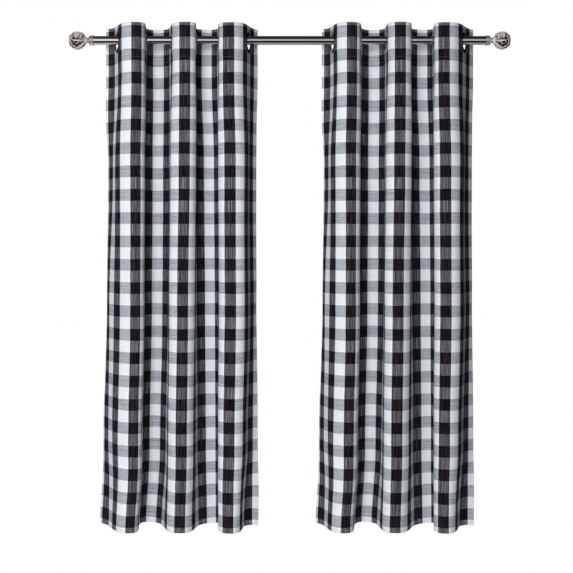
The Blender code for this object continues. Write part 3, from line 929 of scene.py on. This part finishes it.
def makeScrollTree():
    # flat strokes are swept, wrapped on the ball and repeated round the rod's axis
    tree, given = newShapeTree("ball_scrolls", {
        "Radius": "Float", "Half length": "Float", "Lift": "Float", "Sides": "Int", "Copies": "Int",
        "Material": "Material"})
    ring = addNode(tree, "GeometryNodeCurvePrimitiveCircle", {
        "Resolution": given["Sides"], "Radius": 1.0})
    swept = addNode(tree, "GeometryNodeCurveToMesh", {
        "Curve": given["Geometry"], "Profile Curve": ring, "Fill Caps": True,
        "Scale": addNode(tree, "GeometryNodeInputRadius")})
    flat = addNode(tree, "ShaderNodeSeparateXYZ", {0: addNode(tree, "GeometryNodeInputPosition")}).outputs

    # a stroke's X and Y become angles on the ball, and its Z how far it rises from it
    across, around = (
        addNode(tree, "ShaderNodeMath", {0: flat[axis], 1: given["Radius"]}, operation="DIVIDE")
        for axis in "XY")
    raised = addNode(tree, "ShaderNodeMath", {0: flat["Z"], 1: given["Lift"]}, operation="MULTIPLY")
    swell = addNode(tree, "ShaderNodeMath", {0: raised, 1: given["Radius"]}, operation="DIVIDE")
    grow = addNode(tree, "ShaderNodeMath", {0: swell, 1: 1.0}, operation="ADD")
    sinAcross, cosAcross, sinAround, cosAround = (
        addNode(tree, "ShaderNodeMath", {0: angle}, operation=kind)
        for angle in (across, around) for kind in ("SINE", "COSINE"))
    axial = addNode(tree, "ShaderNodeMath", {0: sinAcross, 1: given["Half length"]}, operation="MULTIPLY")
    belt = addNode(tree, "ShaderNodeMath", {0: cosAcross, 1: given["Radius"]}, operation="MULTIPLY")
    front = addNode(tree, "ShaderNodeMath", {0: belt, 1: cosAround}, operation="MULTIPLY")
    back = addNode(tree, "ShaderNodeMath", {0: front, 1: -1.0}, operation="MULTIPLY")
    upward = addNode(tree, "ShaderNodeMath", {0: belt, 1: sinAround}, operation="MULTIPLY")
    onSphere = addNode(tree, "ShaderNodeCombineXYZ", {"X": axial, "Y": back, "Z": upward})
    grown = addNode(tree, "ShaderNodeVectorMath", {0: onSphere, "Scale": grow}, operation="SCALE")
    wrapped = addNode(tree, "GeometryNodeSetPosition", {"Geometry": swept, "Position": grown})

    centres = addNode(tree, "GeometryNodePoints", {"Count": given["Copies"]})
    share = addNode(tree, "ShaderNodeMath", {0: 2 * math.pi, 1: given["Copies"]}, operation="DIVIDE")
    turn = addNode(tree, "ShaderNodeMath", {0: addNode(tree, "GeometryNodeInputIndex"), 1: share},
                   operation="MULTIPLY")
    copies = addNode(tree, "GeometryNodeInstanceOnPoints", {
        "Points": centres, "Instance": wrapped,
        "Rotation": addNode(tree, "ShaderNodeCombineXYZ", {"X": turn})})
    endShapeTree(tree, copies, given["Material"])
    return tree


def makeCastMetal(name, centre, metallic):
    # Cast zinc alloy under a satin silver lacquer: pale and softly shining; its recesses get painted shade.
    material, tree, shader, local = newGrainedMetal(name, finial, metallic, centre)
    away = addNode(tree, "ShaderNodeVectorMath", {0: local}, operation="LENGTH")
    # painted shade: darker nearer the ball's centre, palest on the outermost scrolls
    ridge = addNode(tree, "ShaderNodeMapRange", {
        "Value": away,
        "From Min": ballRadius - finial["shellDrop"], "From Max": ballRadius + finial["paleAt"]})
    tint = addNode(tree, "ShaderNodeMix", {
        "Factor": ridge, "A": finial["recessShade"], "B": finial["colour"]}, data_type="RGBA")
    setInputs(tree, shader, {"Base Color": tint})
    return material


def makeShadeCore():
    # Painted shade: a dull, nearly black inner ball for the hollow's shadow, so the openings read as holes.
    material, tree, shader = newMaterial("painted_shade_inner_ball")
    place = addNode(tree, "ShaderNodeTexCoord").outputs["Object"]
    shadeFlecks = addNode(tree, "ShaderNodeTexNoise", {"Vector": place, "Scale": finial["shadeFleckGrain"]})
    tint = addNode(tree, "ShaderNodeMix", {
        "Factor": shadeFlecks, "A": finial["black"], "B": finial["shadeFlecks"]}, data_type="RGBA")
    setInputs(tree, shader, {"Base Color": tint, "Metallic": 0.6, "Roughness": 0.7})
    return material


def onBall(ball, across, around):
    # a place on the ball, from degrees towards the rod and up from the front
    a, b = math.radians(across), math.radians(around)
    return ball["centre"] + ballRadius * Vector((
        -ball["direction"] * math.sin(a), -math.cos(a) * math.cos(b), math.cos(a) * math.sin(b)))


def makeScrolls(ball, tree, material):
    curve = bpy.data.curves.new("scroll_lines", "CURVE")
    curve.dimensions = "3D"
    for stroke in scrolls + stems:
        line = strokePoints(stroke) / 1000
        spline = curve.splines.new("POLY")
        spline.points.add(len(line) - 1)
        for point, (across, around, width) in zip(spline.points, line):
            point.co = (across, around, 0, 1)
            point.radius = width
    values = {"Radius": ballRadius, "Half length": -ball["direction"] * ballRadius,
              "Lift": finial["lift"], "Sides": finial["strokeSides"], "Copies": finial["copies"],
              "Material": material}
    piece = shapedByTree(newPiece("scroll_lines", curve), tree, values, "finial_scrolls_" + ball["side"])
    piece.data.transform(Matrix.Translation(ball["centre"]))

    # beads where scrolls end
    shape = bmesh.new()
    shape.from_mesh(piece.data)
    for copy in range(finial["copies"]):
        for bead in beads:
            across, around = bead["at"]
            made = bmesh.ops.create_icosphere(shape, subdivisions=finial["beadRounds"],
                                              radius=bead["radius"] / 1000)
            middle = onBall(ball, across, around + 360 * copy / finial["copies"])
            bmesh.ops.translate(shape, verts=made["verts"], vec=middle)
    shape.to_mesh(piece.data)
    shape.free()
    fixNormals(piece.data)
    piece.data.shade_smooth()
    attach(piece, "root")
    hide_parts("finial_ball_" + ball["side"])


def reachFrom(places, opening, copy):
    # the way from an opening's middle, and how far that is: 1 at its edge
    apart = places - (opening["at"][0], opening["at"][1] + 360 * copy / finial["copies"])
    apart[..., 1] = (apart[..., 1] + 180) % 360 - 180
    turn = math.radians(opening["turn"])
    turned = apart @ np.array([[math.cos(turn), -math.sin(turn)], [math.sin(turn), math.cos(turn)]])
    return apart, np.hypot(turned[..., 0] / opening["half"][0], turned[..., 1] / opening["half"][1])


def piercedPattern():
    # the shell's corners in degrees, the cells that are cut away, and the corners drawn to the openings
    step = finial["shellStep"]
    across, around = np.meshgrid(np.arange(-90 + step, 90 + step / 2, step), np.arange(0, 360, step),
                                 indexing="ij")
    places = np.stack([across, around], axis=2)
    everyOpening = [(opening, copy) for copy in range(finial["copies"]) for opening in openings]
    cut = np.zeros(across.shape, bool)
    cut[-1] = True                      # the last row has no cells after it
    for opening, copy in everyOpening:
        cut |= reachFrom(places + step / 2, opening, copy)[1] < 1
    touches = cut | np.roll(cut, 1, axis=1)
    touches[1:] |= touches[:-1]
    nearest = np.full(across.shape, np.inf)
    drawn = places.copy()
    for opening, copy in everyOpening:
        apart, reach = reachFrom(places, opening, copy)
        off = abs(reach - 1)
        here = touches & (off < nearest) & (off < finial["edgePull"])
        nearest[here] = off[here]
        drawn[here] = places[here] - apart[here] * (1 - 1 / reach[here])[:, None]
    return drawn, cut


def makeShell(ball, material):
    # a thin round shell, tapered to the neck, with the openings cut and their edges drawn smooth
    drawn, cut = piercedPattern()
    radius, taper = ballRadius - finial["shellDrop"], math.radians(finial["taperFrom"])
    angle, turn = np.radians(drawn[..., 0]), np.radians(drawn[..., 1])
    part = np.clip((angle - taper) / (math.pi / 2 - taper), 0, 1)
    curved = np.minimum(angle, taper)
    towards = np.sin(curved) * radius + part * (ball["neckEnd"] - math.sin(taper) * radius)
    belt = np.cos(curved) * radius + part * (finial["neck"] - math.cos(taper) * radius)
    points = np.stack([-ball["direction"] * towards, -belt * np.cos(turn), belt * np.sin(turn)], axis=2)
    points += np.array(ball["centre"])

    wide = cut.shape[1]
    faces = []
    for i, j in np.argwhere(~cut).tolist():
        after = (j + 1) % wide
        faces.append((i * wide + j, (i + 1) * wide + j, (i + 1) * wide + after, i * wide + after))
    faces.append(tuple(range(wide)))    # the outer end
    name = "finial_shell_" + ball["side"]
    mesh = bpy.data.meshes.new(name)
    mesh.from_pydata(points.reshape(-1, 3).tolist(), [], faces)
    mesh.materials.append(material)
    dropLoosePoints(mesh)
    fixNormals(mesh)
    sheet = newPiece(name, mesh)
    thick = sheet.modifiers.new("Thickness", "SOLIDIFY")
    thick.thickness = finial["shellWall"]
    thick.offset = -1.0
    shell = asPlainMesh(sheet, name)
    fixNormals(shell.data)
    shell.data.shade_smooth()
    shell.data.set_sharp_from_angle(angle=math.radians(finial["shellSharp"]))
    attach(shell, "root")


def makeCore(ball, material):
    # the ball of painted shade inside the shell
    radius = finial["core"]
    outline = [(radius * math.sin(a), -radius * math.cos(a))
               for a in np.linspace(0, math.pi, finial["coreRows"] + 1)]
    outline[0], outline[-1] = (0.0, outline[0][1]), (0.0, outline[-1][1])
    core = turnedPiece("finial_core_" + ball["side"], outline[::-1], finial["coreSides"],
                       (-ball["direction"], 0, 0), ball["centre"], material)
    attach(core, "root")


def beadOutline(radius, middle, half):
    # a half-round bead on a turned outline
    return [(radius + half * cap["beadBulge"] * math.cos(a), middle + half * math.sin(a))
            for a in np.linspace(-math.pi / 2, math.pi / 2, cap["beadSteps"])]


def makeCap(ball, material):
    # a stem, a cove, two beads and a lip, over the rod's end
    low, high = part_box("finial_cap_" + ball["side"])
    radius, bore = (high.z - low.z) / 2, cap["bore"]
    end = max(abs(low.x - ball["centre"].x), abs(high.x - ball["centre"].x))
    floor = end - cap["depth"]
    shoulder = ball["neckEnd"] + cap["gap"]
    outline = [(0.0, shoulder)]
    outline += [(finial["neck"] + out, shoulder + on) for out, on in cap["stem"]]
    outline += [(radius - cap["coveIn"] - cap["coveRise"] * (1 - math.sin(a)),
                 floor - cap["coveBefore"] + cap["coveRun"] * (1 - math.cos(a)))
                for a in np.linspace(cap["coveFrom"], math.pi / 2, cap["coveSteps"])]
    for start, (inwards, on, half) in ((floor, cap["floorBead"]), (end, cap["endBead"])):
        outline += beadOutline(radius - inwards, start + on, half)
    outline += [(bore + cap["lip"], end), (bore, end), (bore, floor), (0.0, floor)]
    collar = turnedPiece("finial_collar_" + ball["side"], outline[::-1], cap["sides"],
                         (-ball["direction"], 0, 0), ball["centre"], material)
    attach(collar, "root")
    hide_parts("finial_cap_" + ball["side"])


def makeFinial(side, direction, tree, inside):
    low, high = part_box("finial_ball_" + side)
    outer, inner = (low.x, high.x) if direction < 0 else (high.x, low.x)
    centre = Vector((outer - direction * finial["length"], 0, 0))
    ball = {"side": side, "direction": direction, "centre": centre, "neckEnd": abs(inner - centre.x)}
    metal = makeCastMetal("lacquered_zinc_casting_" + side, centre, finial["ballMetallic"])
    capMetal = makeCastMetal("polished_zinc_cap_" + side, centre, finial["capMetallic"])
    makeScrolls(ball, tree, metal)
    makeShell(ball, metal)
    makeCore(ball, inside)
    makeCap(ball, capMetal)


# Everything in its place

makeRod(makePolishedRodMetal())
scrollTree, shadeCore = makeScrollTree(), makeShadeCore()
for side, direction in (("left", -1), ("right", 1)):
    makeFinial(side, direction, scrollTree, shadeCore)
print("Rod and finials made")

checkCloth, thread, ringMetal = makeCheckCloth(), makeThread(), makeRingMetal()
stitchTree = makeStitchTree()
for side in ("left", "right"):
    hung = hangCloth(side)
    curtain = makePanel(side, hung, checkCloth)
    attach(curtain, "root")
    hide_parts("panel_" + side)
    stitches = makeStitches(side, hung, stitchTree, thread)
    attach(stitches, "root")
    rings = makeRings(side, hung, ringMetal)
    print("Curtain made:", side, len(curtain.data.polygons), "faces,",
          len(stitches.data.polygons), "in stitches")
